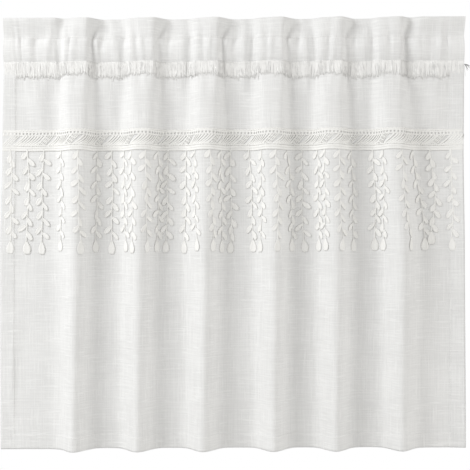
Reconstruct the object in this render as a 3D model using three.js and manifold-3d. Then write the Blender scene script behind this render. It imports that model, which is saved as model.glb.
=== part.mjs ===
// Cafe curtain: a slub cloth panel hanging in six soft folds from a rod-pocket heading, with a frayed
// fringe under the pocket and a lace band whose leaf strands hang in front of the cloth.
// Millimetres, +Z up. The front faces -Y. The origin is on the pocket's axis at mid width.

import * as THREE from "three";
import Module from "manifold-3d";

// Hung size
const HUNG_WIDTH = 654; // side edge to side edge, as the folds take the cloth up
const POCKET_HEIGHT = 35; // between the two stitch lines of the heading
const RUFFLE_HEIGHT = 30; // heading above the upper stitch line
const PANEL_DROP = 545; // lower stitch line to the hem's edge

// Cloth
const CLOTH_THICKNESS = 1.2;
const HEM_EXTRA = 0.8; // the turned cloth behind a hem
const BOTTOM_HEM = 21;
const LEFT_HEM = 20;
const RIGHT_HEM = 22;
const HEM_STEP = 1; // how far the hem's edge takes to thin out
const GAP = 0.3; // between neighbouring pieces

// Heading
const POCKET_PUFF = 12; // how far each layer stands from the middle of the pocket
const POCKET_SHOULDER = 11; // the layers are fully apart to this height above and below the axis
const SEAM_GAP = 0.5; // between the pieces sewn together at the lower stitch line
const LAYER_SPLIT = 0.3; // half the space between the two layers where they are stitched together
const PANEL_TUCK = 3; // the panel's top edge above the lower stitch line
const FRONT_SEAM = 5; // each layer's edge below the lower stitch line
const BACK_SEAM = 8;

// Fringe
const FRINGE_TAPE = 2; // the fringe's woven edge, above the lower stitch line
const FRINGE_LENGTH = 18;
const FRINGE_NOTCH = 7; // how much shorter the fringe is between two points
const FRINGE_THICKNESS = 1.2;
const FRINGE_FLARE = 3; // the fringe's lower edge stands out from the cloth
const TUFT_REACH = 8.5; // stray threads past the right edge
const TUFT_TOP = 4; // below the lower stitch line
const TUFT_ROOT = 3;
const TUFT_TIP = 1.2;
const TUFT_FALL = 3.5;

// Lace band and strands
const LACE_DOWN = 92; // lower stitch line to the band's top edge
const LACE_HEIGHT = 32;
const LACE_THICKNESS = 1.8;
const STRAND_TUCK = 3; // the strand's top behind the band's lower cord

// Heights
const UPPER_STITCH = POCKET_HEIGHT / 2;
const LOWER_STITCH = -POCKET_HEIGHT / 2;
const TOP = UPPER_STITCH + RUFFLE_HEIGHT;
const HEM = LOWER_STITCH - PANEL_DROP;
const LACE_TOP = LOWER_STITCH - LACE_DOWN;
const LACE_BOTTOM = LACE_TOP - LACE_HEIGHT;
const LEFT = -HUNG_WIDTH / 2;
const RIGHT = HUNG_WIDTH / 2;

// One row per fold, left to right, from mid width: the edges of its flat front at the heading, and the
// single corner it has narrowed to at the hem.
const FOLDS = [
  { frontLeft: -237, frontRight: -201, hemCorner: -225 },
  { frontLeft: -146, frontRight: -108, hemCorner: -136 },
  { frontLeft: -54, frontRight: -18, hemCorner: -44 },
  { frontLeft: 34, frontRight: 72, hemCorner: 54 },
  { frontLeft: 117, frontRight: 153, hemCorner: 141 },
  { frontLeft: 200, frontRight: 236, hemCorner: 233 },
];
const HEADING_LEFT_TURN = 10; // width of the turns either side of a fold's front at the heading
const HEADING_RIGHT_TURN = 12;
const HEM_TURN = 28; // width of each side of a fold at the hem
const CORNER_SOFTNESS = 2.6;
const FOOT_SOFTNESS = 4.5;

// One row per facet line on a fold: the corner it comes after, and its share of the way to the next.
const FOLD_FACETS = [
  { after: 0, share: 0.2 },
  { after: 0, share: 0.7 },
  { after: 1, share: 0 },
  { after: 1, share: 0.3 },
  { after: 1, share: 0.8 },
  { after: 2, share: 0.15 },
  { after: 2, share: 0.7 },
];
const MARGIN_FACET = 13.5; // the first facet line outside the outermost folds
const PANEL_FACETS = { belowFringe: -60, midStrand: -200, strandEnd: -285, midDrop: -400 };

// One row per height: where the valleys lie, how far the front's left and right edges stand forward of
// them, and how far the flat front has become a point (0 to 1).
const SECTIONS = [
  { z: TOP, valley: 10, leftDepth: 15, rightDepth: 28, pointed: 0 },
  { z: UPPER_STITCH, valley: 4, leftDepth: 6, rightDepth: 9, pointed: 0 },
  { z: LOWER_STITCH, valley: 4, leftDepth: 6, rightDepth: 9, pointed: 0 },
  { z: -70, valley: 7, leftDepth: 17, rightDepth: 22, pointed: 0.15 },
  { z: -140, valley: 9, leftDepth: 25, rightDepth: 25, pointed: 0.4 },
  { z: -285, valley: 10, leftDepth: 35, rightDepth: 20, pointed: 0.95 },
  { z: HEM, valley: 10, leftDepth: 39, rightDepth: 19.5, pointed: 1 },
];

// One row per fold: where its strands leave the band, from mid width. The last but one fold has a wide
// space in its valley.
const MARGIN_STRANDS = [-315, -291, -269];
const FOLD_STRANDS = [
  { leftTurn: -243, front: -216, rightTurn: -193, valley: -172, valleyEnd: -153 },
  { leftTurn: -143, front: -122, rightTurn: -107, valley: -93, valleyEnd: -67 },
  { leftTurn: -53, front: -32, rightTurn: -18, valley: -5, valleyEnd: 23 },
  { leftTurn: 39, front: 59, rightTurn: 75, valley: 98, valleyEnd: 119 },
  { leftTurn: 128, front: 149, rightTurn: 167, valley: 197 },
  { leftTurn: 211, front: 237, rightTurn: 253, valley: 279, valleyEnd: 309 },
];

// One row per section of a strand, downwards from the band's lower edge: half its width there, and how far
// it hangs off the cloth.
const STRAND_OUTLINE = [
  { down: -STRAND_TUCK, halfWidth: 1.5, clearance: 1.3 },
  { down: 10, halfWidth: 4.5, clearance: 1.8 },
  { down: 60, halfWidth: 4.5, clearance: 1.8 },
  { down: 121, halfWidth: 4.5, clearance: 1.8 },
  { down: 127, halfWidth: 1.5, clearance: 1.8 },
  { down: 139, halfWidth: 4.8, clearance: 1.8 },
  { down: 145, halfWidth: 2, clearance: 1.8 },
];

const clothMaterial = new THREE.MeshStandardMaterial({ color: 0xf1f0ec, roughness: 0.9, metalness: 0 });
const trimMaterial = new THREE.MeshStandardMaterial({ color: 0xf3f0e9, roughness: 0.95, metalness: 0 });

// The shape of the folds

// A column of SECTIONS at a height, eased between its rows.
function sectionAt(z, column) {
  const last = SECTIONS.length - 2;
  let row = 0;
  while (row < last && z < SECTIONS[row + 1].z) row += 1;
  const above = SECTIONS[row];
  const below = SECTIONS[row + 1];
  const share = THREE.MathUtils.smoothstep(above.z - z, 0, above.z - below.z);
  return THREE.MathUtils.lerp(above[column], below[column], share);
}

// The four corners of a fold at a height: its left foot, the two edges of its front, its right foot.
function foldCorners(fold, z) {
  const pointed = sectionAt(z, "pointed");
  const { frontLeft, frontRight, hemCorner } = fold;
  const foot = (headingX, hemX) => ({
    x: THREE.MathUtils.lerp(headingX, hemX, pointed),
    depth: 0,
    softness: FOOT_SOFTNESS,
  });
  const edge = (headingX, hemX, depthColumn) => ({
    x: THREE.MathUtils.lerp(headingX, hemX, pointed),
    depth: sectionAt(z, depthColumn),
    softness: CORNER_SOFTNESS,
  });
  return [
    foot(frontLeft - HEADING_LEFT_TURN, hemCorner - HEM_TURN),
    edge(frontLeft, hemCorner, "leftDepth"),
    edge(frontRight, hemCorner + HEM_TURN / 2, "rightDepth"),
    foot(frontRight + HEADING_RIGHT_TURN, hemCorner + HEM_TURN),
  ];
}

// A bend from level to a slope of 1, rounded over the given softness.
function softBend(distance, softness) {
  return softness * Math.log1p(Math.exp(distance / softness));
}

// How far a fold stands forward at x: straight stretches between its corners, with the corners softened.
function foldForward(fold, x, z) {
  const corners = foldCorners(fold, z);
  let slope = 0;
  let forward = 0;
  corners.forEach((corner, i) => {
    const next = corners[i + 1];
    const nextSlope = next ? (next.depth - corner.depth) / (next.x - corner.x) : 0;
    forward += (nextSlope - slope) * softBend(x - corner.x, corner.softness);
    slope = nextSlope;
  });
  return forward;
}

// The middle of the cloth: y at (x, z).
function clothY(x, z) {
  return FOLDS.reduce((y, fold) => y - foldForward(fold, x, z), sectionAt(z, "valley"));
}

const PROBE = 0.05;

function clothSlope(x, z) {
  return (clothY(x + PROBE, z) - clothY(x - PROBE, z)) / (2 * PROBE);
}

// The point a distance in front of the middle of the cloth, square to it.
function clothPoint(x, z, distance) {
  const slopeX = clothSlope(x, z);
  const slopeZ = (clothY(x, z + PROBE) - clothY(x, z - PROBE)) / (2 * PROBE);
  const normal = new THREE.Vector3(slopeX, -1, slopeZ).normalize();
  return new THREE.Vector3(x, clothY(x, z), z).addScaledVector(normal, distance);
}

// Where the facets run at a height: along the hems, over each fold's corners and in each valley.
function facetColumns(z) {
  const folds = FOLDS.map((fold) => foldCorners(fold, z).map((corner) => corner.x));
  const columns = [LEFT, LEFT + LEFT_HEM, LEFT + LEFT_HEM + HEM_STEP, folds[0][0] - MARGIN_FACET];
  folds.forEach((corners, i) => {
    columns.push(corners[0] - FOOT_SOFTNESS);
    FOLD_FACETS.forEach(({ after, share }) => {
      columns.push(THREE.MathUtils.lerp(corners[after], corners[after + 1], share));
    });
    columns.push(corners[3] + FOOT_SOFTNESS);
    columns.push(i + 1 < folds.length ? (corners[3] + folds[i + 1][0]) / 2 : corners[3] + MARGIN_FACET);
  });
  columns.push(RIGHT - RIGHT_HEM - HEM_STEP, RIGHT - RIGHT_HEM, RIGHT);
  return columns;
}

// Solids from grids of points

// A closed solid between two matching grids, indexed [column][row]: columns run left to right and rows
// downwards as seen from the outer side.
function gridSolid(outer, inner) {
  const columns = outer.length;
  const rows = outer[0].length;
  const points = [...outer.flat(), ...inner.flat()];
  const outerAt = (i, j) => i * rows + j;
  const innerAt = (i, j) => columns * rows + i * rows + j;
  const triangles = [];
  for (let i = 0; i + 1 < columns; i += 1) {
    for (let j = 0; j + 1 < rows; j += 1) {
      const cell = [[i, j], [i, j + 1], [i + 1, j + 1], [i + 1, j]];
      const [a, b, c, d] = cell.map(([column, row]) => outerAt(column, row));
      const [e, f, g, h] = cell.map(([column, row]) => innerAt(column, row));
      triangles.push([a, b, c], [a, c, d], [e, g, f], [e, h, g]);
    }
  }
  const rim = [];
  for (let j = 0; j + 1 < rows; j += 1) rim.push([0, j]);
  for (let i = 0; i + 1 < columns; i += 1) rim.push([i, rows - 1]);
  for (let j = rows - 1; j > 0; j -= 1) rim.push([columns - 1, j]);
  for (let i = columns - 1; i > 0; i -= 1) rim.push([i, 0]);
  rim.forEach(([i, j], k) => {
    const [nextI, nextJ] = rim[(k + 1) % rim.length];
    triangles.push([outerAt(nextI, nextJ), outerAt(i, j), innerAt(i, j)]);
    triangles.push([outerAt(nextI, nextJ), innerAt(i, j), innerAt(nextI, nextJ)]);
  });
  const geometry = new THREE.BufferGeometry();
  geometry.setAttribute("position", new THREE.Float32BufferAttribute(points.flatMap((p) => p.toArray()), 3));
  geometry.setIndex(triangles.flat());
  return geometry;
}

// A sheet along the facet columns, with a row at each height, between two distances in front of the
// cloth's middle. Each distance is a function of x and z.
function clothSheet(heights, innerDistance, outerDistance) {
  const lines = heights.map((z) => facetColumns(z));
  const grid = (distanceAt) =>
    lines[0].map((_, i) =>
      heights.map((z, j) => clothPoint(lines[j][i], z, distanceAt(lines[j][i], z))),
    );
  return gridSolid(grid(outerDistance), grid(innerDistance));
}

// The pieces

const HALF_CLOTH = CLOTH_THICKNESS / 2;

// The panel is thicker at its back where a hem is turned, below the heading's layers.
function panelBack(x, z) {
  const inHeading = z >= LOWER_STITCH - BACK_SEAM;
  const inSideHem = x <= LEFT + LEFT_HEM || x >= RIGHT - RIGHT_HEM;
  const inBottomHem = z <= HEM + BOTTOM_HEM;
  const isTurned = !inHeading && (inSideHem || inBottomHem);
  return isTurned ? -HALF_CLOTH - HEM_EXTRA : -HALF_CLOTH;
}

function panelGeometry() {
  const { belowFringe, midStrand, strandEnd, midDrop } = PANEL_FACETS;
  const hemLine = HEM + BOTTOM_HEM;
  const seamHeights = [LOWER_STITCH + PANEL_TUCK, LOWER_STITCH - BACK_SEAM];
  const foldHeights = [belowFringe, LACE_TOP, LACE_BOTTOM, midStrand, strandEnd, midDrop];
  const heights = [...seamHeights, ...foldHeights, hemLine + HEM_STEP, hemLine, HEM];
  return clothSheet(heights, panelBack, () => HALF_CLOTH);
}

// One row per section of the heading, along its cloth from the back layer's edge, up, over the top and
// down to the front layer's edge: height, side (1 front, -1 back), space to the cloth's middle and share
// of the pocket's puff.
function headingSections() {
  const seam = CLOTH_THICKNESS + SEAM_GAP;
  const stitched = LAYER_SPLIT + HALF_CLOTH;
  const layer = (side, edge) => [
    { z: edge, side, space: seam, puff: 0 },
    { z: LOWER_STITCH, side, space: seam, puff: 0 },
    { z: -POCKET_SHOULDER, side, space: stitched, puff: 1 },
    { z: POCKET_SHOULDER, side, space: stitched, puff: 1 },
    { z: UPPER_STITCH, side, space: stitched, puff: 0 },
    { z: TOP, side, space: stitched, puff: 0 },
  ];
  const back = layer(-1, LOWER_STITCH - BACK_SEAM);
  const front = layer(1, LOWER_STITCH - FRONT_SEAM);
  return [...back, ...front.reverse()];
}

function headingGeometry() {
  const sections = headingSections();
  const middle = facetColumns(0).map((x) =>
    sections.map(({ z, side, space, puff }) => {
      const point = clothPoint(x, z, side * space);
      point.y -= side * puff * POCKET_PUFF;
      return point;
    }),
  );
  const lastColumn = middle.length - 1;
  const lastRow = sections.length - 1;
  const offsetGrid = (distance) =>
    middle.map((column, i) =>
      column.map((point, j) => {
        const right = middle[Math.min(i + 1, lastColumn)][j].clone().sub(middle[Math.max(i - 1, 0)][j]);
        const along = column[Math.min(j + 1, lastRow)].clone().sub(column[Math.max(j - 1, 0)]);
        const outward = along.cross(right).normalize();
        return point.clone().addScaledVector(outward, distance);
      }),
    );
  return gridSolid(offsetGrid(HALF_CLOTH), offsetGrid(-HALF_CLOTH));
}

// The pocket swells just above the lower stitch line, so the fringe's woven edge leans out over it.
function tapeLift() {
  const swell = (FRINGE_TAPE / (UPPER_STITCH - POCKET_SHOULDER)) * POCKET_PUFF;
  return new THREE.Vector3(0, -swell, 0);
}

// The stray threads at the right edge: two upright edges, at their root and at their tip.
function tuftEdges(distance) {
  const start = clothPoint(RIGHT, LOWER_STITCH - TUFT_TOP, distance);
  const edge = (reach, fall, height) =>
    [0, 0.5, 1].map((share) => start.clone().add(new THREE.Vector3(reach, 0, -fall - share * height)));
  return [edge(1, 0, TUFT_ROOT), edge(TUFT_REACH, TUFT_FALL, TUFT_TIP)];
}

// The fringe hangs from a woven edge sewn over the front layer. Its lower edge is ragged, and at the right
// a few threads stick out past the cloth.
function fringeGeometry() {
  const inner = 3 * HALF_CLOTH + 2 * SEAM_GAP;
  const outer = inner + FRINGE_THICKNESS;
  const bottom = (i) => LOWER_STITCH - FRINGE_LENGTH + (i % 2 ? FRINGE_NOTCH : 0);
  const comb = (distance) =>
    facetColumns(0).map((x, i) => [
      clothPoint(x, LOWER_STITCH + FRINGE_TAPE, distance).add(tapeLift()),
      clothPoint(x, LOWER_STITCH - FRONT_SEAM, distance),
      clothPoint(x, bottom(i), distance + FRINGE_FLARE),
    ]);
  const grid = (distance) => [...comb(distance), ...tuftEdges(distance)];
  return gridSolid(grid(outer), grid(inner));
}

// A strand hangs straight down in front of the cloth, and stands off it where it crosses a fold's corner.
function strandGeometry(startX) {
  const edges = (thickness) => {
    const rows = STRAND_OUTLINE.map(({ down, halfWidth, clearance }) => {
      const z = LACE_BOTTOM - down;
      const distance = HALF_CLOTH + clearance + thickness;
      const reach = halfWidth / Math.hypot(1, clothSlope(startX, z));
      const pair = [-reach, reach].map((side) => clothPoint(startX + side, z, distance));
      const chordY = (pair[0].y + pair[1].y) / 2;
      const bulge = Math.max(0, chordY - clothPoint(startX, z, distance).y);
      pair.forEach((point) => {
        point.y -= bulge;
      });
      return pair;
    });
    return [0, 1].map((side) => rows.map((pair) => pair[side]));
  };
  return gridSolid(edges(LACE_THICKNESS), edges(0));
}

const wasm = await Module();
wasm.setup();

function toSolid(geometry) {
  return new wasm.Manifold(
    new wasm.Mesh({
      numProp: 3,
      vertProperties: Float32Array.from(geometry.getAttribute("position").array),
      triVerts: Uint32Array.from(geometry.getIndex().array),
    }),
  );
}

function toGeometry(solid) {
  const mesh = solid.getMesh();
  const geometry = new THREE.BufferGeometry();
  geometry.setAttribute("position", new THREE.Float32BufferAttribute(mesh.vertProperties, 3));
  geometry.setIndex([...mesh.triVerts]);
  return geometry;
}

// The band and its strands are one comb.
function laceGeometry() {
  const inner = HALF_CLOTH + GAP;
  const band = clothSheet([LACE_TOP, LACE_BOTTOM], () => inner, () => inner + LACE_THICKNESS);
  const starts = [...MARGIN_STRANDS, ...FOLD_STRANDS.flatMap((fold) => Object.values(fold))];
  const comb = starts.reduce((solid, x) => solid.add(toSolid(strandGeometry(x))), toSolid(band));
  return toGeometry(comb);
}

const curtain = new THREE.Group();

function addPiece(name, geometry, material) {
  geometry.computeVertexNormals();
  const mesh = new THREE.Mesh(geometry, material);
  mesh.name = name;
  curtain.add(mesh);
}

addPiece("panel", panelGeometry(), clothMaterial);
addPiece("heading", headingGeometry(), clothMaterial);
addPiece("pocket_fringe", fringeGeometry(), trimMaterial);
addPiece("lace_trim", laceGeometry(), trimMaterial);

export default curtain;
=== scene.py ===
import math
from collections import namedtuple

import bpy
import numpy as np
from mathutils import Matrix, Vector


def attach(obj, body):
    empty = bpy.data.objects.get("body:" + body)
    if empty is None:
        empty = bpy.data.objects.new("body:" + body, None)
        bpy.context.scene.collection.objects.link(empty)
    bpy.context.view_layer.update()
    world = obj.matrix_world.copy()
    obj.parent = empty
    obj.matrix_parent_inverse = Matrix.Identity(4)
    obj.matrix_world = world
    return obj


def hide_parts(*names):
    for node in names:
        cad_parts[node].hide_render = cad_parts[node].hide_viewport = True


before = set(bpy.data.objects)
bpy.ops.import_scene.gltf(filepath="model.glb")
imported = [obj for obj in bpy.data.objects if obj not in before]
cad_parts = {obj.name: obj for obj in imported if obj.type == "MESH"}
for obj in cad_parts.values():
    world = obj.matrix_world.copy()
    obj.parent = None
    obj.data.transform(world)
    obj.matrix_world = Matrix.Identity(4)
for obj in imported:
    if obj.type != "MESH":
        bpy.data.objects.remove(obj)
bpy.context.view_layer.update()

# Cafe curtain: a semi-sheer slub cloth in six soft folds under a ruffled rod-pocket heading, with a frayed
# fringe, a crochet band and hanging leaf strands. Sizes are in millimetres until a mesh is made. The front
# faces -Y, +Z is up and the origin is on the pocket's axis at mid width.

MM = 0.001

# Hung size
HUNG_WIDTH = 654
FLAT_WIDTH = 818  # the finished cloth laid flat
POCKET_HEIGHT = 35
RUFFLE_HEIGHT = 27.3
PANEL_DROP = 545
LACE_DOWN = 92
LACE_HEIGHT = 32

UPPER_STITCH = POCKET_HEIGHT / 2
LOWER_STITCH = -POCKET_HEIGHT / 2
TOP = UPPER_STITCH + RUFFLE_HEIGHT
HEM = LOWER_STITCH - PANEL_DROP
LACE_TOP = LOWER_STITCH - LACE_DOWN
LACE_BOTTOM = LACE_TOP - LACE_HEIGHT
LEFT = -HUNG_WIDTH / 2
RIGHT = HUNG_WIDTH / 2

# Cloth
CLOTH_THICKNESS = 0.7
BOTTOM_HEM = 21
LEFT_HEM = 20
RIGHT_HEM = 22
HEM_PUSH = 0.8  # the front layer pushed forward by a hem's layers
HEM_STEP = 1.2  # half the width of that step
PANEL_TUCK = 3  # the panel's top edge above the lower stitch line
FRONT_SEAM = 5  # the heading's edges below the lower stitch line
BACK_SEAM = 8
SEAM_SPACE = 1.0  # the heading's layers off the panel at the lower stitch line
LAYER_SPACE = 0.9  # off the cloth's middle where the two layers are stitched together
POCKET_PUFF = 5

# One row per fold: the edges of its flat front at the heading, and its single corner at the hem.
Fold = namedtuple("Fold", "front_left front_right hem_corner")
FOLDS = [
    Fold(-237, -204, -225),
    Fold(-145, -110, -136),
    Fold(-52, -20, -44),
    Fold(37, 71, 54),
    Fold(122, 154, 141),
    Fold(205, 237, 233),
]
HEM_LEFT_TURN = 21
HEM_RIGHT_TURN = 25
HEM_RIGHT_BEND = 15  # from the corner to where its right side bends

TUCK_RETURN = 6  # from the bottom of the tuck beside a fold back out to the valley

# Where the margins outside the first and the last fold begin and are full
LEFT_MARGIN = (-236, -252)
RIGHT_MARGIN = (242, 268)

# One row per height: where the valleys lie, how far the front's left and right edges stand forward of them,
# how deep the tuck right of the fold is, how far the flat front has become a point, how wide the turns beside
# it are, how soft its corners and feet are, how far the cloth outside the first and last fold stands forward,
# how far the two side hems curl forward of that, and how far the two side edges are shifted to the right.
Section = namedtuple(
    "Section",
    "z valley left_depth right_depth tuck pointed left_turn right_turn corner foot"
    " left_margin right_margin left_curl right_curl left_edge right_edge",
)
SECTIONS = [
    Section(TOP, 10, 11, 21, 0, 0, 9, 15, 2.4, 3.0, 16, 16, 0, 0, 4, 0),
    Section(UPPER_STITCH, 4, 9, 11, 6, 0, 4, 4, 1.3, 1.7, 4, 4, 0, 0, 4, -1),
    Section(LOWER_STITCH, 4, 9, 11, 6, 0, 4, 4, 1.3, 1.7, 4, 4, 0, 0, 4, -1),
    Section(-70, 7, 21, 20, 2, 0.15, 7, 9, 3.2, 2.6, 2, -4, 2, 4, 2, 0),
    Section(-140, 9, 28, 26, 1, 0.4, 10, 11, 3.6, 3.6, 1, -6, 2, 4, 0, 0),
    Section(-285, 10, 39, 30, 0, 0.95, 10, 12, 5.2, 4.6, 3, -4, 2, 4, -3, 1),
    Section(HEM, 10, 44, 19, 0, 1, 10, 12, 4.0, 4.5, 6, 4, 0, 4, -3, 0),
]

# Small gathers of the heading, left to right: half width, and how far each stands forward in the ruffle and
# in the pocket, as shares of GATHER_DEPTH. Troughs are negative.
Gather = namedtuple("Gather", "x half_width ruffle pocket")
GATHERS = [
    Gather(-307, 2.5, -2.0, -1.5),
    Gather(-299, 2.5, -1.5, -2.5),
    Gather(-287, 5.0, 1.0, 2.0),
    Gather(-277, 6.0, -0.5, -2.5),
    Gather(-259, 4.0, 1.5, 2.0),
    Gather(-249, 3.0, -0.5, -1.5),
    Gather(-233, 5.0, -3.0, -1.0),
    Gather(-228, 2.2, 0.0, -2.0),
    Gather(-222, 4.0, 1.5, 1.5),
    Gather(-194, 4.0, 1.0, 2.5),
    Gather(-184, 5.5, -3.0, -3.0),
    Gather(-168, 6.0, 2.5, 2.0),
    Gather(-153, 3.5, -0.5, -1.5),
    Gather(-137, 5.0, -3.0, -2.0),
    Gather(-130, 3.0, 1.0, 2.0),
    Gather(-103, 4.0, 1.0, 2.5),
    Gather(-90, 6.0, -3.0, -3.0),
    Gather(-72, 5.0, 2.0, 2.0),
    Gather(-59, 3.5, -0.5, -1.5),
    Gather(-43, 5.0, -2.5, -2.0),
    Gather(-33, 4.0, 1.5, 2.0),
    Gather(-12, 4.0, 1.0, 2.5),
    Gather(4, 6.5, -2.5, -3.5),
    Gather(16, 5.0, 2.5, 2.5),
    Gather(29, 3.0, -0.5, -1.5),
    Gather(47, 5.5, -3.0, -1.5),
    Gather(54, 3.0, 1.0, 2.0),
    Gather(80, 4.0, 1.0, 2.5),
    Gather(93, 5.5, -2.5, -3.0),
    Gather(101, 4.5, 2.0, 2.5),
    Gather(115, 3.0, -0.5, -1.5),
    Gather(136, 5.0, -3.0, -2.5),
    Gather(143, 3.5, 1.0, 2.0),
    Gather(161, 4.0, 1.0, 2.5),
    Gather(170, 5.0, -3.0, -3.0),
    Gather(187, 6.0, 2.5, 2.0),
    Gather(198, 3.0, -0.5, -1.5),
    Gather(221, 5.5, -3.0, -2.5),
    Gather(226, 3.0, 1.0, 2.0),
    Gather(258, 5.0, 1.0, 2.0),
    Gather(281, 7.0, -1.5, -2.0),
    Gather(293, 4.0, 1.5, 2.0),
    Gather(302, 3.5, -1.0, -2.0),
    Gather(307, 2.0, 1.0, 1.0),
]
GATHER_DEPTH = 0.65
GATHER_SWELL = 1.0  # how much more they stand out just below the upper stitch line
GATHER_SWELL_DOWN = 6  # the middle of that stretch below the line
GATHER_SWELL_HALF = 7  # and its half height
GATHER_LEAN = 4  # sideways over the pocket's height, to either side
GATHER_END = -80  # the gathers have faded out of the panel at this height

# Soft creases of the panel: middle, half sizes, how far the lower end leans to the right, and how far the
# crease stands forward.
Crease = namedtuple("Crease", "x z half_width half_height lean forward")
CREASES = [
    Crease(-277, -70, 13, 38, 6, 4.0),
    Crease(-254, -60, 9, 30, -4, -1.0),
    Crease(-312, -430, 7, 70, -6, 1.6),
    Crease(-318, -520, 6, 30, 8, -1.5),
    Crease(-176, -75, 10, 34, 5, 2.0),
    Crease(-88, -78, 10, 34, -5, -1.6),
    Crease(8, -72, 11, 32, 4, -1.8),
    Crease(180, -80, 10, 36, 6, 1.8),
    Crease(284, -75, 14, 40, -6, 2.4),
    Crease(268, -430, 16, 90, 10, 2.0),
    Crease(296, -330, 12, 80, -8, -1.4),
]

# Fringe
FRINGE_TAPE = 2  # the woven edge above the lower stitch line
FRINGE_LENGTH = 21.8
FRINGE_SPACE = 1.7  # off the cloth's middle at its woven edge
FRINGE_END_SPACE = 0.3  # and at the threads' ends
FRINGE_FOLD_SHORTER = 0.18  # as a share, on a fold's front
FRINGE_THREADS = 2900

# One row per strand: where it leaves the band, how far its middle bows and its drop hangs to the right, and
# how much longer it is than the usual one.
Strand = namedtuple("Strand", "x bow sway longer")
STRANDS = [
    Strand(-315, 1, -1, 0),
    Strand(-291, 2, -3, 0),
    Strand(-269, -1, -2, 1),
    Strand(-243, 1, 0, -2),
    Strand(-216, -1, 2, -1),
    Strand(-193, 0, -2, -1),
    Strand(-172, 1, -1, 0),
    Strand(-153, -1, 1, -1),
    Strand(-143, 1, 2, 0),
    Strand(-122, 0, 1, -2),
    Strand(-107, 2, -2, -1),
    Strand(-93, 0, -2, 0),
    Strand(-67, 1, -2, 0),
    Strand(-53, -1, 2, -3),
    Strand(-32, 1, 3, -2),
    Strand(-18, 0, 2, 0),
    Strand(-5, 1, 2, 1),
    Strand(23, 2, 4, -1),
    Strand(39, 1, 0, -1),
    Strand(59, 2, 3, -2),
    Strand(75, 4, 7, -2),
    Strand(98, -1, 1, -1),
    Strand(119, 1, 2, -2),
    Strand(128, 0, 2, -3),
    Strand(149, -1, 3, -2),
    Strand(167, 1, 2, -2),
    Strand(197, 3, 4, -3),
    Strand(211, 1, 1, -3),
    Strand(237, -2, 12, -4),
    Strand(253, 5, 20, -3),
    Strand(279, 7, 1, -12),
    Strand(309, 2, 2, -3),
]
STRAND_DROP = 126  # band's lower edge to the top of the drop
DROP_LENGTH = 19
DROP_HALF_WIDTH = 5.9
STEM_RADIUS = 0.85
STEM_FLATNESS = 0.85  # its height as a share of its width
STEM_SPACE = 0.75  # a stem's middle off the cloth's middle
STRAND_PRESS = 0.6  # how much flatter a strand lies where it hangs over a fold
LEAF_PAIRS = 6
LEAF_PITCH = 20.6
LEAF_LENGTH = 14.2
LEAF_HALF_WIDTH = 3.7
LEAF_EDGE_HEIGHT = 0.2
LEAF_SWELL = 0.55  # how much higher a leaf's rim is where it is widest
LEAF_ANGLE = math.radians(34)  # from straight down
LEFT_LEAF_DOWN = 1.5  # band's lower edge to the first leaf on each side
RIGHT_LEAF_DOWN = 10.8


# The shape of the cloth

def smoothstep(low, high, value):
    share = np.clip((value - low) / (high - low), 0, 1)
    return share * share * (3 - 2 * share)


def section_at(z, column):
    """A column of SECTIONS at heights z, eased between its rows."""
    heights = np.array([row.z for row in SECTIONS])
    values = np.array([getattr(row, column) for row in SECTIONS], dtype=float)
    above = np.clip(np.searchsorted(-heights, -z, side="right") - 1, 0, len(heights) - 2)
    share = smoothstep(0, 1, (heights[above] - z) / (heights[above] - heights[above + 1]))
    return values[above] + share * (values[above + 1] - values[above])


def fold_corners(fold, z):
    """(x, depth, softness) of a fold's left foot, front's two edges, right foot and tuck's end."""
    pointed = section_at(z, "pointed")
    left_turn = section_at(z, "left_turn")
    right_turn = section_at(z, "right_turn")

    def at(heading_x, hem_x):
        return heading_x + pointed * (hem_x - heading_x)

    level = np.zeros_like(pointed)
    right_foot = at(fold.front_right + right_turn, fold.hem_corner + HEM_RIGHT_TURN)
    corner = section_at(z, "corner")
    foot = section_at(z, "foot")
    return [
        (at(fold.front_left - left_turn, fold.hem_corner - HEM_LEFT_TURN), level, foot),
        (at(fold.front_left, fold.hem_corner), section_at(z, "left_depth"), corner),
        (at(fold.front_right, fold.hem_corner + HEM_RIGHT_BEND), section_at(z, "right_depth"), corner),
        (right_foot, -section_at(z, "tuck"), foot),
        (right_foot + TUCK_RETURN, level, foot),
    ]


def fold_forward(fold, x, z):
    """How far a fold stands forward: straight between its corners, with the corners softened."""
    corners = fold_corners(fold, z)
    slope = 0
    forward = 0
    for i, (corner_x, depth, softness) in enumerate(corners):
        next_slope = 0
        if i + 1 < len(corners):
            next_x, next_depth, _ = corners[i + 1]
            next_slope = (next_depth - depth) / (next_x - corner_x)
        bend = softness * np.logaddexp(0, (x - corner_x) / softness)
        forward = forward + (next_slope - slope) * bend
        slope = next_slope
    return forward


def folds_forward(x, z):
    return sum(fold_forward(fold, x, z) for fold in FOLDS)


def margins_forward(x, z):
    """How far the cloth outside the first and the last fold stands forward."""
    left_share = 1 - smoothstep(LEFT_MARGIN[1], LEFT_MARGIN[0], x)
    right_share = smoothstep(*RIGHT_MARGIN, x)
    left_curl_share = np.clip((LEFT + LEFT_HEM - x) / LEFT_HEM, 0, 1)
    right_curl_share = np.clip((x - RIGHT + RIGHT_HEM) / RIGHT_HEM, 0, 1)
    margins = left_share * section_at(z, "left_margin") + right_share * section_at(z, "right_margin")
    curls = left_curl_share * section_at(z, "left_curl") + right_curl_share * section_at(z, "right_curl")
    return margins + curls


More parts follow.
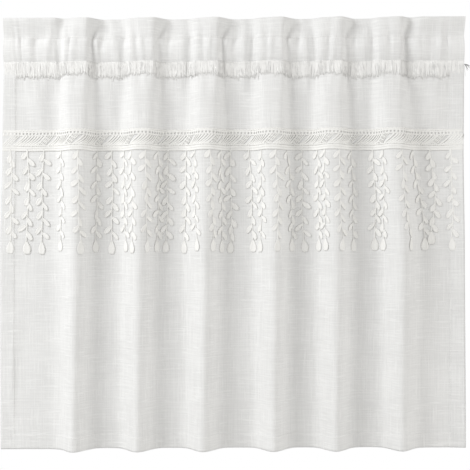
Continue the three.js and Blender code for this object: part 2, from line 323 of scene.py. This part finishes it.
def gathers_forward(x, z):
    ruffle_share = smoothstep(UPPER_STITCH - 3, UPPER_STITCH + 3, z)
    ruffle_fade = 1 - 0.5 * smoothstep(UPPER_STITCH, TOP, z)
    panel_fade = smoothstep(GATHER_END, LOWER_STITCH, z)
    from_swell = (z - UPPER_STITCH + GATHER_SWELL_DOWN) / GATHER_SWELL_HALF
    swell = 1 + GATHER_SWELL * np.exp(-(from_swell**2))
    forward = 0
    for gather in GATHERS:
        amount = gather.pocket + ruffle_share * (gather.ruffle * ruffle_fade - gather.pocket)
        lean = GATHER_LEAN * math.sin(gather.x) * (UPPER_STITCH - z) / POCKET_HEIGHT
        forward = forward + amount * np.exp(-(((x - gather.x - lean) / gather.half_width) ** 2))
    return forward * panel_fade * swell * GATHER_DEPTH


def creases_forward(x, z):
    forward = 0
    for crease in CREASES:
        down = (crease.z - z) / crease.half_height
        across = (x - crease.x - crease.lean * down) / crease.half_width
        forward = forward + crease.forward * np.exp(-(down**2) - across**2)
    return forward


def cloth_y(x, z):
    """The middle of the cloth."""
    fold_and_margin = folds_forward(x, z) + margins_forward(x, z)
    return section_at(z, "valley") - fold_and_margin - gathers_forward(x, z) - creases_forward(x, z)


PROBE = 0.05


def cloth_slopes(x, z):
    slope_x = (cloth_y(x + PROBE, z) - cloth_y(x - PROBE, z)) / (2 * PROBE)
    slope_z = (cloth_y(x, z + PROBE) - cloth_y(x, z - PROBE)) / (2 * PROBE)
    return slope_x, slope_z


def unit(vectors):
    return vectors / np.maximum(np.linalg.norm(vectors, axis=-1, keepdims=True), 1e-9)


def on_cloth(x, z, distance):
    """Points a distance square in front of the cloth's middle, and the directions square to it."""
    slope_x, slope_z = cloth_slopes(x, z)
    normals = unit(np.stack([slope_x, -np.ones_like(slope_x), slope_z], axis=-1))
    middle = np.stack([x, cloth_y(x, z), z], axis=-1)
    return middle + normals * np.asarray(distance)[..., None], normals


# Upright threads of the cloth: x of evenly spaced threads at evenly spaced heights.
THREAD_HEIGHTS = np.linspace(TOP, HEM, 160)
THREAD_SHARES = np.linspace(0, 1, 1400)


def thread_table():
    left_edges = LEFT + section_at(THREAD_HEIGHTS, "left_edge")
    right_edges = RIGHT + section_at(THREAD_HEIGHTS, "right_edge")
    rows = []
    for height, left_edge, right_edge in zip(THREAD_HEIGHTS, left_edges, right_edges):
        fine = np.linspace(left_edge, right_edge, 3200)
        steps = np.hypot(np.diff(fine), np.diff(cloth_y(fine, np.full_like(fine, height))))
        length = np.concatenate([[0], np.cumsum(steps)])
        rows.append(np.interp(THREAD_SHARES * length[-1], length, fine))
    return np.array(rows)


THREAD_X = thread_table()


def thread_x(share, z):
    """x of the thread at a share of the cloth's width, at height z."""
    row = np.clip((TOP - z) / (TOP - HEM), 0, 1) * (len(THREAD_HEIGHTS) - 1)
    column = np.clip(share, 0, 1) * (len(THREAD_SHARES) - 1)
    top_row = np.minimum(row.astype(int), len(THREAD_HEIGHTS) - 2)
    left_column = np.minimum(column.astype(int), len(THREAD_SHARES) - 2)
    row_part = row - top_row
    column_part = column - left_column

    def along_row(table_row):
        left = THREAD_X[table_row, left_column]
        right = THREAD_X[table_row, left_column + 1]
        return left * (1 - column_part) + right * column_part

    return along_row(top_row) * (1 - row_part) + along_row(top_row + 1) * row_part


# Meshes

def make_piece(name, points, faces, material, node=None, flat=None):
    """A smooth mesh piece from points in millimetres. flat is each point's place on the flat cloth."""
    mesh = bpy.data.meshes.new(name)
    mesh.from_pydata((np.asarray(points) * MM).tolist(), [], faces)
    mesh.polygons.foreach_set("use_smooth", [True] * len(mesh.polygons))
    if flat is not None:
        corners = np.empty(len(mesh.loops), dtype=int)
        mesh.loops.foreach_get("vertex_index", corners)
        layer = mesh.uv_layers.new(name="flat")
        layer.data.foreach_set("uv", (np.asarray(flat)[corners] * MM).ravel())
    mesh.materials.append(material)
    piece = bpy.data.objects.new(name, mesh)
    bpy.context.scene.collection.objects.link(piece)
    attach(piece, "root")
    if node:
        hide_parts(node)
    return piece


def grid_faces(rows, columns):
    index = np.arange(rows * columns).reshape(rows, columns)
    corners = [index[:-1, :-1], index[1:, :-1], index[1:, 1:], index[:-1, 1:]]
    return np.stack(corners, axis=-1).reshape(-1, 4).tolist()


def round_ring(sides):
    angles = np.linspace(0, 2 * np.pi, sides, endpoint=False)
    return np.stack([np.cos(angles), np.sin(angles)], axis=-1)


# A leaf's section in half widths and heights: a raised rim each side of a sunk middle.
LEAF_RING = np.array(
    [
        (1, 0),
        (0.76, 1),
        (0.42, 0.5),
        (0, 0.2),
        (-0.42, 0.5),
        (-0.76, 1),
        (-1, 0),
        (-0.6, -0.4),
        (0, -0.4),
        (0.6, -0.4),
    ]
)


def sweep(paths, normals, widths, heights, ring):
    """Points and faces of closed bars along paths [bar, station], with the ring as their section."""
    bars, stations = paths.shape[:2]
    along = unit(np.gradient(paths, axis=1))
    across = unit(np.cross(along, normals))
    upward = np.cross(across, along)
    side = across[:, :, None, :] * (widths[:, :, None] * ring[:, 0])[..., None]
    rise = upward[:, :, None, :] * (heights[:, :, None] * ring[:, 1])[..., None]
    points = (paths[:, :, None, :] + side + rise).reshape(-1, 3)
    index = np.arange(len(points)).reshape(bars, stations, len(ring))
    here, below = index[:, :-1], index[:, 1:]
    corners = [here, below, np.roll(below, -1, axis=2), np.roll(here, -1, axis=2)]
    quads = np.stack(corners, axis=-1).reshape(-1, 4).tolist()
    caps = index[:, 0].tolist() + index[:, -1, ::-1].tolist()
    return points, quads + caps


def join(parts):
    """Several (points, faces) as one."""
    points = []
    faces = []
    start = 0
    for part_points, part_faces in parts:
        points.append(part_points)
        faces.extend([[corner + start for corner in face] for face in part_faces])
        start += len(part_points)
    return np.concatenate(points), faces


# Materials

def new_material(name):
    material = bpy.data.materials.new(name)
    material.use_nodes = True
    material.node_tree.nodes.clear()
    return material, material.node_tree


def add_node(tree, kind, settings=None, inputs=None):
    """A node with its settings, and with values or links for its inputs."""
    node = tree.nodes.new(kind)
    for key, value in (settings or {}).items():
        setattr(node, key, value)
    for key, value in (inputs or {}).items():
        if isinstance(value, bpy.types.NodeSocket):
            tree.links.new(value, node.inputs[key])
        else:
            node.inputs[key].default_value = value
    return node


def noise(tree, vector, stretch, detail):
    """Noise over a vector stretched by so many features a metre each way, from 0 to 1."""
    mapping = add_node(tree, "ShaderNodeMapping", inputs={"Vector": vector, "Scale": stretch})
    texture = add_node(
        tree, "ShaderNodeTexNoise", inputs={"Vector": mapping.outputs[0], "Scale": 1.0, "Detail": detail}
    )
    return texture.outputs["Fac"]


def spread(tree, value, low, high, to_low, to_high):
    node = add_node(
        tree,
        "ShaderNodeMapRange",
        {"interpolation_type": "SMOOTHSTEP"},
        {"Value": value, "From Min": low, "From Max": high, "To Min": to_low, "To Max": to_high},
    )
    return node.outputs["Result"]


def blend_values(tree, operation, first, second):
    return add_node(tree, "ShaderNodeMath", {"operation": operation}, {0: first, 1: second}).outputs[0]


def cloth_material(name, thin, thick):
    """Thin cloth of uneven threads: slubs along and across, a fine weave, and light coming through."""
    material, tree = new_material(name)
    flat = add_node(tree, "ShaderNodeUVMap", {"uv_map": "flat"}).outputs[0]
    across_threads = noise(tree, flat, (22, 620, 1), 2.0)
    upright_threads = noise(tree, flat, (640, 14, 1), 2.0)
    across_slubs = spread(tree, noise(tree, flat, (34, 520, 1), 1.0), 0.57, 0.73, 0, 1.1)
    upright_slubs = spread(tree, noise(tree, flat, (540, 26, 1), 1.0), 0.59, 0.75, 0, 0.9)
    long_slubs = blend_values(tree, "MAXIMUM", across_slubs, upright_slubs)
    cloudy = noise(tree, flat, (18, 18, 1), 2.0)
    threads = blend_values(tree, "ADD", across_threads, upright_threads)
    weave_across = noise(tree, flat, (260, 1500, 1), 0.0)
    weave_upright = noise(tree, flat, (1500, 260, 1), 0.0)
    weave = blend_values(tree, "ADD", weave_across, weave_upright)
    slubs = blend_values(tree, "ADD", spread(tree, threads, 0.7, 1.35, 0, 0.8), long_slubs)
    shade = blend_values(tree, "ADD", slubs, spread(tree, cloudy, 0.3, 0.7, -0.2, 0.2))
    colour = add_node(
        tree,
        "ShaderNodeMix",
        {"data_type": "RGBA"},
        {"Factor": shade, "A": (*thin, 1), "B": (*thick, 1)},
    ).outputs["Result"]
    relief = blend_values(tree, "ADD", slubs, blend_values(tree, "MULTIPLY", weave, 0.4))
    bump = add_node(
        tree, "ShaderNodeBump", inputs={"Strength": 0.35, "Distance": 0.0005, "Height": relief}
    ).outputs[0]
    front = add_node(
        tree,
        "ShaderNodeBsdfPrincipled",
        inputs={"Base Color": colour, "Roughness": 0.9, "Specular IOR Level": 0.15, "Normal": bump},
    )
    through = add_node(tree, "ShaderNodeBsdfTranslucent", inputs={"Color": colour, "Normal": bump})
    share = spread(tree, slubs, 0, 1, 0.16, 0.08)
    both = add_node(
        tree, "ShaderNodeMixShader", inputs={"Fac": share, 1: front.outputs[0], 2: through.outputs[0]}
    )
    add_node(tree, "ShaderNodeOutputMaterial", inputs={"Surface": both.outputs[0]})
    return material


def cotton_material(name, light, dark, fineness):
    """Matt spun cotton: fine fibres with a little unevenness of tone."""
    material, tree = new_material(name)
    place = add_node(tree, "ShaderNodeTexCoord").outputs["Object"]
    fibres = noise(tree, place, (fineness, fineness, fineness), 2.0)
    patches = noise(tree, place, (60, 60, 60), 1.0)
    tone = blend_values(tree, "MULTIPLY", fibres, patches)
    colour = add_node(
        tree,
        "ShaderNodeMix",
        {"data_type": "RGBA"},
        {"Factor": spread(tree, tone, 0.1, 0.4, 0, 1), "A": (*dark, 1), "B": (*light, 1)},
    ).outputs["Result"]
    bump = add_node(
        tree, "ShaderNodeBump", inputs={"Strength": 0.4, "Distance": 0.0003, "Height": fibres}
    ).outputs[0]
    surface = add_node(
        tree,
        "ShaderNodeBsdfPrincipled",
        inputs={"Base Color": colour, "Roughness": 0.92, "Specular IOR Level": 0.12, "Normal": bump},
    )
    add_node(tree, "ShaderNodeOutputMaterial", inputs={"Surface": surface.outputs[0]})
    return material


CLOTH = cloth_material("slub cloth", (0.795, 0.794, 0.788), (0.87, 0.869, 0.863))
# Where the cloth lies doubled, in the heading and the hems, it is a lighter copy of the same cloth: painted
# light standing in for doubled layers looking whiter against the light behind.
DOUBLE_CLOTH_PAINTED_LIGHTER = cloth_material("double slub cloth painted lighter", (0.835, 0.834, 0.828), (0.9, 0.899, 0.893))
FRINGE_COTTON = cotton_material("fringe thread", (0.93, 0.925, 0.912), (0.88, 0.875, 0.862), 1500)
LACE_COTTON = cotton_material("crochet cotton", (0.895, 0.889, 0.87), (0.845, 0.838, 0.816), 1200)
# The stray threads are white cotton painted dark grey: painted shade standing in for threads seen against the
# bright background behind them.
STRAY_COTTON_PAINTED_DARK = cotton_material("stray thread painted dark", (0.36, 0.36, 0.36), (0.26, 0.26, 0.26), 1500)


# The pieces

def make_panel():
    """One sheet, turned to the back along its sides and its lower edge."""
    left_share = LEFT_HEM / FLAT_WIDTH
    right_share = RIGHT_HEM / FLAT_WIDTH
    turn = 0.4 / FLAT_WIDTH
    shares = np.concatenate(
        [
            np.linspace(-left_share, -turn, 9),
            np.linspace(0, 1, 362),
            np.linspace(1 + turn, 1 + right_share, 9),
        ]
    )
    hem_top = HEM + BOTTOM_HEM
    downs = np.concatenate(
        [
            np.linspace(LOWER_STITCH + PANEL_TUCK, hem_top + HEM_STEP, 126),
            np.linspace(hem_top + HEM_STEP / 2, hem_top - HEM_STEP, 5),
            np.linspace(hem_top - 2 * HEM_STEP, HEM, 8),
            np.linspace(HEM - 0.4, HEM - BOTTOM_HEM, 6),
        ]
    )
    share, down = np.meshgrid(shares, downs)
    side_layer = (share < 0) | (share > 1)
    hem_layer = down < HEM
    z = np.where(hem_layer, 2 * HEM - down, down)
    inside = np.where(share < 0, -share, np.where(share > 1, 2 - share, share))
    layers = np.where(hem_layer, 3 - side_layer, side_layer)
    hem_share = 1 - smoothstep(hem_top - HEM_STEP, hem_top + HEM_STEP, z)
    side_share = 1 - smoothstep(LEFT_HEM - HEM_STEP, LEFT_HEM + HEM_STEP, inside * FLAT_WIDTH)
    side_share += 1 - smoothstep(RIGHT_HEM - HEM_STEP, RIGHT_HEM + HEM_STEP, (1 - inside) * FLAT_WIDTH)
    pushed = HEM_PUSH * np.maximum(hem_share, side_share)
    points, _ = on_cloth(thread_x(inside, z), z, pushed - layers * CLOTH_THICKNESS)
    flat = np.stack([share * FLAT_WIDTH, down], axis=-1)
    piece = make_piece(
        "panel_cloth",
        points.reshape(-1, 3),
        grid_faces(*share.shape),
        CLOTH,
        "panel",
        flat.reshape(-1, 2),
    )
    # The hems take the lighter copy of the cloth: painted light where the cloth lies doubled.
    piece.data.materials.append(DOUBLE_CLOTH_PAINTED_LIGHTER)
    in_hems = (down < hem_top) | (share < left_share) | (share > 1 - right_share)
    doubled = in_hems[:-1, :-1] & in_hems[1:, 1:]
    piece.data.polygons.foreach_set("material_index", doubled.astype(np.int32).ravel())
    return piece


def pocket_puff(z):
    """How far a layer of the pocket stands off between the two stitch lines."""
    return POCKET_PUFF * np.clip(1 - (z / UPPER_STITCH) ** 2, 0, 1)


def heading_points(share, z, side):
    """Points on the heading's front layer (side 1) or back layer (side -1)."""
    sewn = SEAM_SPACE + (LAYER_SPACE - SEAM_SPACE) * smoothstep(LOWER_STITCH, 0, z)
    points, normals = on_cloth(thread_x(share, z), z, side * sewn)
    points[..., 1] -= side * pocket_puff(z)
    return points, normals


def make_heading():
    """One strip from the back layer's edge up, over the top and down to the front layer's edge."""
    ease = np.sin(np.linspace(-np.pi / 2, np.pi / 2, 17))
    pocket = ease * UPPER_STITCH
    ruffle = np.linspace(UPPER_STITCH + 1.2, TOP, 14)
    back_seam = np.linspace(LOWER_STITCH - BACK_SEAM, LOWER_STITCH - 1, 4)
    front_seam = np.linspace(LOWER_STITCH - 1, LOWER_STITCH - FRONT_SEAM, 3)
    back = np.concatenate([back_seam, pocket, ruffle])
    front = np.concatenate([ruffle[::-1], pocket[::-1], front_seam])
    heights = np.concatenate([back, [TOP + 0.4], front])
    sides = np.concatenate([-np.ones(len(back)), [0], np.ones(len(front))])
    shares = np.linspace(0, 1, 362)
    share, z = np.meshgrid(shares, heights)
    side = np.repeat(sides[:, None], len(shares), axis=1)
    points, _ = heading_points(share, z, side)
    along = np.concatenate([[0], np.cumsum(np.abs(np.diff(heights)))])
    flat = np.stack([share * FLAT_WIDTH, np.repeat(along[:, None], len(shares), axis=1)], axis=-1)
    # The heading takes the lighter copy of the cloth: painted light for its doubled layers.
    return make_piece(
        "heading_cloth",
        points.reshape(-1, 3),
        grid_faces(*share.shape),
        DOUBLE_CLOTH_PAINTED_LIGHTER,
        "heading",
        flat.reshape(-1, 2),
    )


def fold_share(x, z):
    """0 in a valley, 1 on a fold's front."""
    return np.clip(folds_forward(x, z) / section_at(z, "left_depth"), 0, 1)


def make_fringe():
    """Loose threads from a woven edge over the lower stitch line. They hang shorter on the folds."""
    random = np.random.default_rng(11)
    stations = np.linspace(0, 1, 7)
    each = (FRINGE_THREADS, 1)
    share = np.linspace(0.001, 0.999, FRINGE_THREADS)[:, None] + random.normal(0, 0.0003, each)
    root_x = thread_x(share, np.full(each, LOWER_STITCH))
    on_fold = fold_share(root_x, np.full(each, LOWER_STITCH))
    unevenness = 0.04 * np.sin(share * 140) + random.normal(0, 0.09, each)
    length = FRINGE_LENGTH * (1 - FRINGE_FOLD_SHORTER * on_fold + unevenness)
    lean = random.normal(0, 0.06, each)
    x = root_x + np.sin(lean) * length * stations
    z = LOWER_STITCH + FRINGE_TAPE - np.cos(lean) * length * stations
    space = FRINGE_SPACE + (FRINGE_END_SPACE - FRINGE_SPACE) * stations
    paths, normals = on_cloth(x, z, space + random.uniform(-0.15, 0.15, each))
    widths = np.repeat(random.uniform(0.3, 0.46, each), len(stations), axis=1)
    points, faces = sweep(paths, normals, widths, widths * 0.4, round_ring(4))
    return make_piece("fringe_threads", points, faces, FRINGE_COTTON, "pocket_fringe")


# Stray threads at the right edge: how far each reaches sideways, forward and down.
Stray = namedtuple("Stray", "reach forward fall")
STRAYS = [
    Stray(8.4, 1.0, 4.0),
    Stray(6.5, 2.0, 2.0),
    Stray(5.0, 0.0, 7.5),
    Stray(7.4, -1.0, 5.2),
    Stray(3.6, 1.5, 9.0),
    Stray(4.4, 2.5, 3.2),
]
STRAY_ROOT_DOWN = 4


def make_strays():
    stations = np.linspace(0, 1, 7)
    root, _ = on_cloth(np.array(RIGHT - 1.0), np.array(LOWER_STITCH - STRAY_ROOT_DOWN), 3.0)
    reach = np.array([[stray.reach, -stray.forward, -stray.fall] for stray in STRAYS])
    curve = np.stack([stations, stations, stations**1.7], axis=-1)
    paths = root + reach[:, None, :] * curve
    normals = np.broadcast_to(np.array([0.0, -1.0, 0.0]), paths.shape)
    radius = np.broadcast_to(0.55 - 0.3 * stations, paths.shape[:2])
    points, faces = sweep(paths, normals, radius, radius, round_ring(5))
    # The threads take the dark grey cotton: painted shade, not their own colour.
    return make_piece("stray_threads", points, faces, STRAY_COTTON_PAINTED_DARK, "pocket_fringe")


# Crochet band: heights up from its lower edge, and half widths and heights of its cords
Cord = namedtuple("Cord", "up half_width height")
BAND_CORDS = [
    Cord(1.8, 2.0, 0.4),
    Cord(5.2, 2.0, 0.35),
    Cord(8.2, 1.0, 0.5),
    Cord(22.4, 1.1, 0.5),
    Cord(27.0, 1.4, 0.55),
]
BAND_SPACE = 0.65  # the cords' middles off the cloth's middle
BAND_REPEATS = 16
BAND_REPEAT = FLAT_WIDTH / BAND_REPEATS
HOLE_PITCH = FLAT_WIDTH / 156
RIB_BOTTOM = 7.6
RIB_TOP = 22.8
RIB_HEIGHT = 0.5
HOLE_BAR_HALF_WIDTH = 1.55  # of the bars between the holes
LOOP_HALF_WIDTH = 1.1  # of the cord of the loops along the upper edge
LOOP_HEIGHT = 0.4
LOOP_FOOT = 0.8  # above the uppermost cord
LOOP_RISE = 1.7

# One row per group of slanting ribs in a repeat: the first rib's foot, their spacing and number, how far the
# top leans past the foot, the bow of the rib, and the half widths at its ends and middle.
Ribs = namedtuple("Ribs", "start spacing count lean bow end_width middle_width")
BAND_RIBS = [
    Ribs(0.0, 3.4, 4, 15.0, 0.0, 0.8, 0.8),
    Ribs(15.0, 4.5, 8, 18.0, 1.8, 1.7, 1.15),
]
# Short ties that cross the first group: foot from the repeat's start, height of the foot, run and rise
Tie = namedtuple("Tie", "start up run rise")
BAND_TIES = [
    Tie(2.8, 8.5, -2.0, 2.6),
    Tie(11.4, 8.6, -8.6, 4.6),
    Tie(15.4, 12.4, -8.6, 4.6),
    Tie(19.4, 16.2, -8.6, 4.6),
]


def band_paths(along, up, distance):
    """Paths on the cloth from places along the flat band and heights above its lower edge."""
    z = LACE_BOTTOM + up
    return on_cloth(thread_x(along / FLAT_WIDTH, z), z, distance)


def band_bars(along, up, widths, heights):
    paths, normals = band_paths(along, up, np.full_like(along, BAND_SPACE))
    return sweep(paths, normals, widths, heights, round_ring(6))


def band_cords():
    along = np.linspace(0.5, FLAT_WIDTH - 0.5, 640)[None, :].repeat(len(BAND_CORDS), axis=0)
    size = np.array(BAND_CORDS)[:, :, None]
    wobble = 1 + 0.16 * np.sin(along * 2 * np.pi / 3.2)
    up = size[:, 0] + 0.25 * np.sin(along / 9.0)
    return band_bars(along, up, size[:, 1] * wobble, size[:, 2] * wobble)


def band_ribs():
    random = np.random.default_rng(5)
    stations = np.linspace(0, 1, 8)
    parts = []
    for group in BAND_RIBS:
        feet = group.start + group.spacing * np.arange(group.count)
        feet = (feet + BAND_REPEAT * np.arange(BAND_REPEATS)[:, None]).reshape(-1, 1)
        feet = feet + random.normal(0, 0.25, feet.shape)
        middle = np.sin(np.pi * stations)
        along = np.clip(feet + group.lean * stations + group.bow * middle, 1, FLAT_WIDTH - 1)
        up = np.broadcast_to(RIB_BOTTOM + (RIB_TOP - RIB_BOTTOM) * stations, along.shape)
        width = group.end_width + (group.middle_width - group.end_width) * middle
        widths = np.broadcast_to(width, along.shape)
        parts.append(band_bars(along, up, widths, np.full_like(along, RIB_HEIGHT)))
    for tie in BAND_TIES:
        feet = (tie.start + BAND_REPEAT * np.arange(BAND_REPEATS))[:, None]
        along = np.clip(feet + tie.run * stations, 1, FLAT_WIDTH - 1)
        up = np.broadcast_to(tie.up + tie.rise * stations, along.shape)
        parts.append(band_bars(along, up, np.full_like(along, 0.8), np.full_like(along, RIB_HEIGHT)))
    return parts


def band_edge():
    """The row of small holes, and the loops along the upper edge."""
    stations = np.linspace(0, 1, 7)
    feet = (HOLE_PITCH * (0.5 + np.arange(round(FLAT_WIDTH / HOLE_PITCH) - 1)))[:, None]
    lower_cord, upper_cord = BAND_CORDS[-2:]
    bar_along = np.broadcast_to(feet, (len(feet), len(stations)))
    bar_up = np.broadcast_to(lower_cord.up + (upper_cord.up - lower_cord.up) * stations, bar_along.shape)
    bar_widths = np.full_like(bar_along, HOLE_BAR_HALF_WIDTH)
    bars = band_bars(bar_along, bar_up, bar_widths, np.full_like(bar_along, RIB_HEIGHT))
    angles = np.pi * stations
    loop_along = feet + HOLE_PITCH * 0.5 * (1 - np.cos(angles))
    loop_up = np.broadcast_to(upper_cord.up + LOOP_FOOT + LOOP_RISE * np.sin(angles), loop_along.shape)
    loop_widths = np.full_like(loop_along, LOOP_HALF_WIDTH)
    loops = band_bars(loop_along, loop_up, loop_widths, np.full_like(loop_along, LOOP_HEIGHT))
    return [bars, loops]


def make_band():
    points, faces = join([band_cords(), *band_ribs(), *band_edge()])
    return make_piece("crochet_band", points, faces, LACE_COTTON, "lace_trim")


def strand_x(strand, down):
    """x of a strand's stem so far below the band."""
    share = np.clip(down / STRAND_DROP, 0, 1.2)
    bowed = strand.bow * np.sin(np.pi * np.clip(share, 0, 1))
    wander = 0.7 * np.sin(down / 13.0 + strand.x)
    return strand.x + bowed + strand.sway * share**1.6 + wander


def strand_lift(x, z):
    """How much of its full height a strand has: all of it in a valley, less over a fold."""
    return 1 - STRAND_PRESS * fold_share(x, z)


def strand_stems():
    downs = [np.linspace(-3, STRAND_DROP + strand.longer + 2, 56) for strand in STRANDS]
    x = np.array([strand_x(strand, down) for strand, down in zip(STRANDS, downs)])
    z = LACE_BOTTOM - np.array(downs)
    lift = strand_lift(x, z)
    paths, normals = on_cloth(x, z, STEM_SPACE * lift)
    widths = np.full_like(x, STEM_RADIUS)
    return sweep(paths, normals, widths, widths * STEM_FLATNESS * lift, round_ring(6))


def padded_shapes(base_x, base_z, angle, length, half_width, space, outline):
    """Leaf-like shapes from their bases: angle is from straight down, positive to the right."""
    stations = np.linspace(0, 1, len(outline))
    slope, _ = cloth_slopes(base_x, base_z)
    across = (length * np.sin(angle) / np.hypot(1, slope))[:, None] * stations
    down = (length * np.cos(angle))[:, None] * stations
    x = base_x[:, None] + across
    z = base_z[:, None] - down
    lift = strand_lift(x, z)
    paths, normals = on_cloth(x, z, space[:, None] * lift)
    widths = half_width[:, None] * outline
    heights = (LEAF_EDGE_HEIGHT + LEAF_SWELL * np.sqrt(outline)) * lift
    return sweep(paths, normals, widths, heights, LEAF_RING)


LEAF_OUTLINE = np.array([0.22, 0.48, 0.74, 0.93, 1.0, 0.96, 0.78, 0.36])
DROP_OUTLINE = np.array([0.14, 0.32, 0.54, 0.75, 0.92, 1.0, 0.98, 0.84, 0.5])


def strand_leaves():
    random = np.random.default_rng(3)
    rows = []
    for strand in STRANDS:
        pitch = LEAF_PITCH * (1 + strand.longer / STRAND_DROP)
        for pair in range(LEAF_PAIRS):
            for side, first in ((-1, LEFT_LEAF_DOWN), (1, RIGHT_LEAF_DOWN)):
                down = first + pitch * pair + random.normal(0, 0.8)
                rows.append(
                    (
                        strand_x(strand, down),
                        LACE_BOTTOM - down,
                        side * (LEAF_ANGLE + random.normal(0, 0.16)),
                        LEAF_LENGTH * random.normal(1, 0.06),
                        LEAF_HALF_WIDTH * random.uniform(0.78, 1.08),
                        STEM_SPACE + random.uniform(-0.1, 0.3),
                    )
                )
    return padded_shapes(*np.array(rows).T, LEAF_OUTLINE)


def strand_drops():
    random = np.random.default_rng(9)
    rows = []
    for strand in STRANDS:
        down = STRAND_DROP + strand.longer
        rows.append(
            (
                strand_x(strand, down),
                LACE_BOTTOM - down,
                random.normal(0, 0.06),
                DROP_LENGTH * random.normal(1, 0.04),
                DROP_HALF_WIDTH * random.uniform(0.85, 1.05),
                STEM_SPACE,
            )
        )
    return padded_shapes(*np.array(rows).T, DROP_OUTLINE)


def make_strands():
    points, faces = join([strand_stems(), strand_leaves(), strand_drops()])
    return make_piece("leaf_strands", points, faces, LACE_COTTON, "lace_trim")


STITCH_PITCH = 3.2
STITCH_LENGTH = 2.1
STITCH_RADIUS = 0.32


def stitch_bars(paths, normals):
    radius = np.full(paths.shape[:2], STITCH_RADIUS)
    return sweep(paths, normals, radius, radius, round_ring(5))


def make_stitches():
    """Sewing thread along the upper stitch line and along the hems."""
    stations = np.linspace(-0.5, 0.5, 4)
    middles = np.arange(STITCH_PITCH, FLAT_WIDTH, STITCH_PITCH)[:, None]
    across = (middles + STITCH_LENGTH * stations) / FLAT_WIDTH
    upper, upper_normals = heading_points(across, np.full_like(across, UPPER_STITCH), 1.0)
    upper[..., 1] -= 0.3
    hem_z = np.full_like(across, HEM + BOTTOM_HEM - 1.5)
    hem, hem_normals = on_cloth(thread_x(across, hem_z), hem_z, np.full_like(across, HEM_PUSH))
    parts = [stitch_bars(upper, upper_normals), stitch_bars(hem, hem_normals)]
    down = np.arange(LOWER_STITCH - 22, HEM + 4, -STITCH_PITCH)[:, None] + STITCH_LENGTH * stations
    for share in ((LEFT_HEM - 1.5) / FLAT_WIDTH, 1 - (RIGHT_HEM - 1.5) / FLAT_WIDTH):
        side_x = thread_x(np.full_like(down, share), down)
        side, side_normals = on_cloth(side_x, down, np.full_like(down, HEM_PUSH))
        parts.append(stitch_bars(side, side_normals))
    points, faces = join(parts)
    return make_piece("stitching", points, faces, FRINGE_COTTON)


panel = make_panel()
heading = make_heading()
fringe = make_fringe()
strays = make_strays()
band = make_band()
strands = make_strands()
stitches = make_stitches()


# Floor, light and camera

FLOOR_DROP = 360  # the hem above the floor
FLOOR_SIZE = (2.6, 2.6)


def make_floor():
    material, tree = new_material("pale floor")
    place = add_node(tree, "ShaderNodeTexCoord").outputs["Object"]
    grain = noise(tree, place, (40, 40, 40), 3.0)
    colour = add_node(
        tree,
        "ShaderNodeMix",
        {"data_type": "RGBA"},
        {"Factor": grain, "A": (0.80, 0.80, 0.79, 1), "B": (0.84, 0.84, 0.83, 1)},
    ).outputs["Result"]
    surface = add_node(tree, "ShaderNodeBsdfPrincipled", inputs={"Base Color": colour, "Roughness": 0.8})
    add_node(tree, "ShaderNodeOutputMaterial", inputs={"Surface": surface.outputs[0]})
    half_x, half_y = FLOOR_SIZE[0] / 2, FLOOR_SIZE[1] / 2
    corners = [(-half_x, -half_y, 0), (half_x, -half_y, 0), (half_x, half_y, 0), (-half_x, half_y, 0)]
    mesh = bpy.data.meshes.new("floor")
    mesh.from_pydata(corners, [], [(0, 1, 2, 3)])
    mesh.materials.append(material)
    floor = bpy.data.objects.new("floor", mesh)
    floor.location = (0, -0.1, (HEM - FLOOR_DROP) * MM)
    bpy.context.scene.collection.objects.link(floor)


BACKGROUND_WHITE = 1.0
AMBIENT = 0.635
AMBIENT_COLOUR = (1.0, 0.99, 0.97, 1)


def make_world():
    """White behind the curtain, and a softer even light from all round."""
    world = bpy.data.worlds.new("studio")
    bpy.context.scene.world = world
    world.use_nodes = True
    tree = world.node_tree
    tree.nodes.clear()
    seen = add_node(tree, "ShaderNodeLightPath").outputs["Is Camera Ray"]
    strength = spread(tree, seen, 0, 1, AMBIENT, BACKGROUND_WHITE)
    tint = add_node(
        tree,
        "ShaderNodeMix",
        {"data_type": "RGBA"},
        {"Factor": seen, "A": AMBIENT_COLOUR, "B": (1, 1, 1, 1)},
    ).outputs["Result"]
    light = add_node(tree, "ShaderNodeBackground", inputs={"Color": tint, "Strength": strength})
    add_node(tree, "ShaderNodeOutputWorld", inputs={"Surface": light.outputs[0]})


CURTAIN_MIDDLE = (0.0, 0.0, -0.25)

Light = namedtuple("Light", "name place size watts colour")
LIGHTS = [
    Light("key", (-1.65, -1.15, 0.75), 1.1, 27, (0.98, 0.99, 1.0)),
    Light("fill", (2.8, -1.1, 0.3), 1.4, 19, (1.0, 0.985, 0.96)),
]


def add_light(row):
    """A round soft light aimed at the curtain's middle."""
    data = bpy.data.lights.new(row.name, "AREA")
    data.shape = "DISK"
    data.size = row.size
    data.energy = row.watts
    data.color = row.colour
    light = bpy.data.objects.new(row.name, data)
    light.location = row.place
    aim = Vector(CURTAIN_MIDDLE) - Vector(row.place)
    light.rotation_euler = aim.to_track_quat("-Z", "Y").to_euler()
    bpy.context.scene.collection.objects.link(light)


CAMERA_DISTANCE = 1.6  # from the valleys of the folds
CAMERA_VIEW_WIDTH = 0.667  # of the frame at the valleys
CAMERA_CENTRE = (0.0021, -0.261)
CAMERA_ROLL = math.radians(-0.2)
VALLEY_Y = 0.010


def make_camera():
    data = bpy.data.cameras.new("camera")
    data.sensor_width = 36
    data.lens = data.sensor_width * CAMERA_DISTANCE / CAMERA_VIEW_WIDTH
    camera = bpy.data.objects.new("camera", data)
    looking = Matrix.Rotation(math.radians(90), 4, "X") @ Matrix.Rotation(CAMERA_ROLL, 4, "Z")
    place = (CAMERA_CENTRE[0], VALLEY_Y - CAMERA_DISTANCE, CAMERA_CENTRE[1])
    camera.matrix_world = Matrix.Translation(place) @ looking
    bpy.context.scene.collection.objects.link(camera)
    bpy.context.scene.camera = camera


make_floor()
make_world()
for row in LIGHTS:
    add_light(row)
make_camera()
bpy.context.scene.view_settings.view_transform = "Standard"
